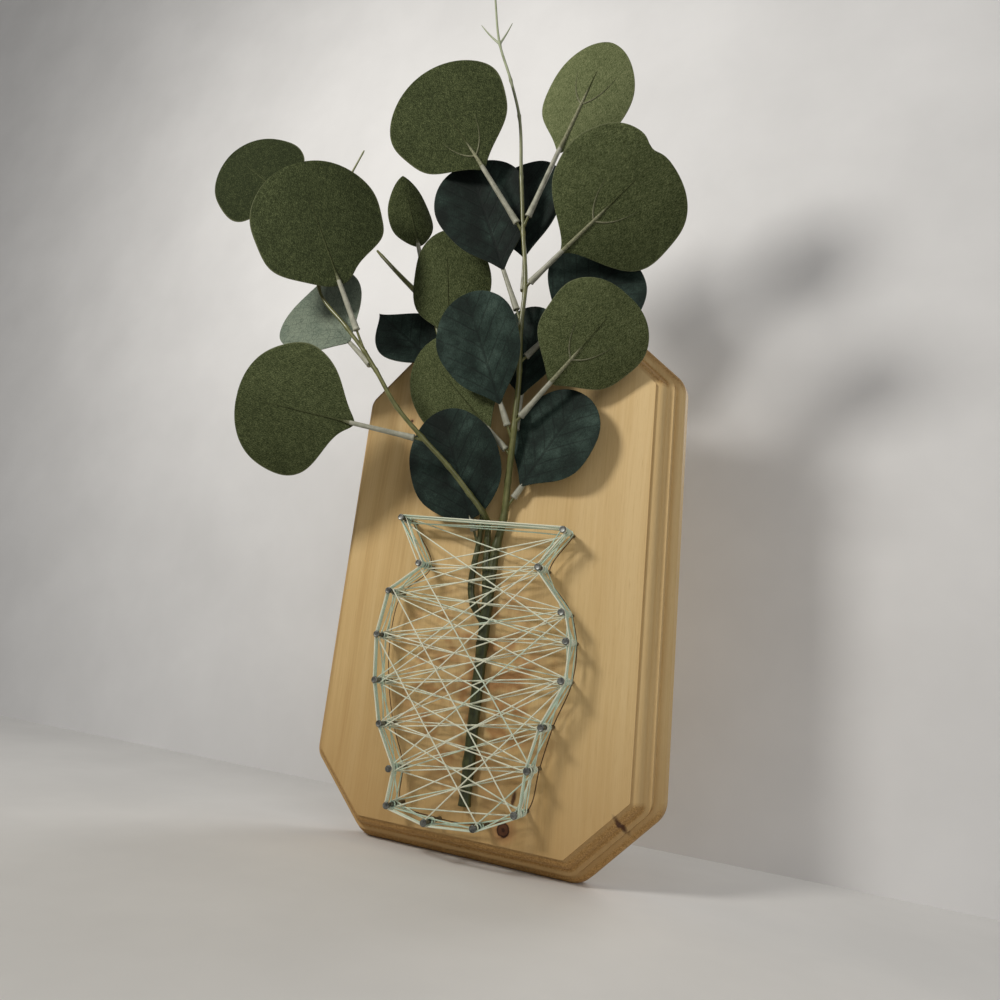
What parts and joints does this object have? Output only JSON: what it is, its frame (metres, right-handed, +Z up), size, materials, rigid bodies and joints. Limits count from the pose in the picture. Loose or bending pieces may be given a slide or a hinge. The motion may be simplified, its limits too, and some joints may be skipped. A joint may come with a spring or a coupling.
{
  "type": "hanging wall vase",
  "caption": "Wall vase: a clipped-corner wood plaque with a vase outline of nails and wound thread, whose pocket holds a lift-out spray of round-leaved faux eucalyptus.",
  "frame": {"origin": "middle notch of the sawtooth hanger, in the plane of the plaque's back face", "axes": "+Z up along the plaque, -Y towards the front, +X to the viewer's right"},
  "size_m": [0.1909, 0.0839, 0.3342],
  "materials": {
    "wood": "bare sanded pale softwood",
    "nail_steel": "bright wire nail",
    "hanger_steel": "stamped zinc-plated sheet",
    "brad_steel": "plated wire brad",
    "thread": "twisted pale green cotton thread",
    "stem": "moulded green plastic",
    "stalk": "moulded grey-beige plastic",
    "leaf": "stiffened printed leaf fabric"
  },
  "bodies": {
    "vase": {"plaque": "wood", "nails": "nail_steel", "outline_thread": "thread", "web_thread": "thread", "sawtooth_hanger": "hanger_steel", "hanger_brads": "brad_steel"},
    "spray": {"main_stem": "stem", "left_stem": "stem", "middle_stem": "stem", "leaf_stalk_01": "stalk", "leaf_stalk_02": "stalk", "leaf_stalk_03": "stalk", "leaf_stalk_04": "stalk", "leaf_stalk_05": "stalk", "leaf_stalk_06": "stalk", "leaf_stalk_07": "stalk", "leaf_stalk_08": "stalk", "leaf_stalk_09": "stalk", "leaf_stalk_10": "stalk", "leaf_stalk_11": "stalk", "leaf_stalk_12": "stalk", "leaf_stalk_13": "stalk", "leaf_stalk_14": "stalk", "leaf_stalk_15": "stalk", "leaf_stalk_16": "stalk", "leaf_stalk_17": "stalk", "leaf_stalk_18": "stalk", "leaf_stalk_19": "stalk", "leaf_blade_01": "leaf", "leaf_blade_02": "leaf", "leaf_blade_03": "leaf", "leaf_blade_04": "leaf", "leaf_blade_05": "leaf", "leaf_blade_06": "leaf", "leaf_blade_07": "leaf", "leaf_blade_08": "leaf", "leaf_blade_09": "leaf", "leaf_blade_10": "leaf", "leaf_blade_11": "leaf", "leaf_blade_12": "leaf", "leaf_blade_13": "leaf", "leaf_blade_14": "leaf", "leaf_blade_15": "leaf", "leaf_blade_16": "leaf", "leaf_blade_17": "leaf", "leaf_blade_18": "leaf", "leaf_blade_19": "leaf"}
  },
  "joints": [
    {"name": "spray_lift", "type": "slide", "parent": "vase", "child": "spray", "axis": [0, 0, 1], "range_m": [0, 0.11]}
  ]
}
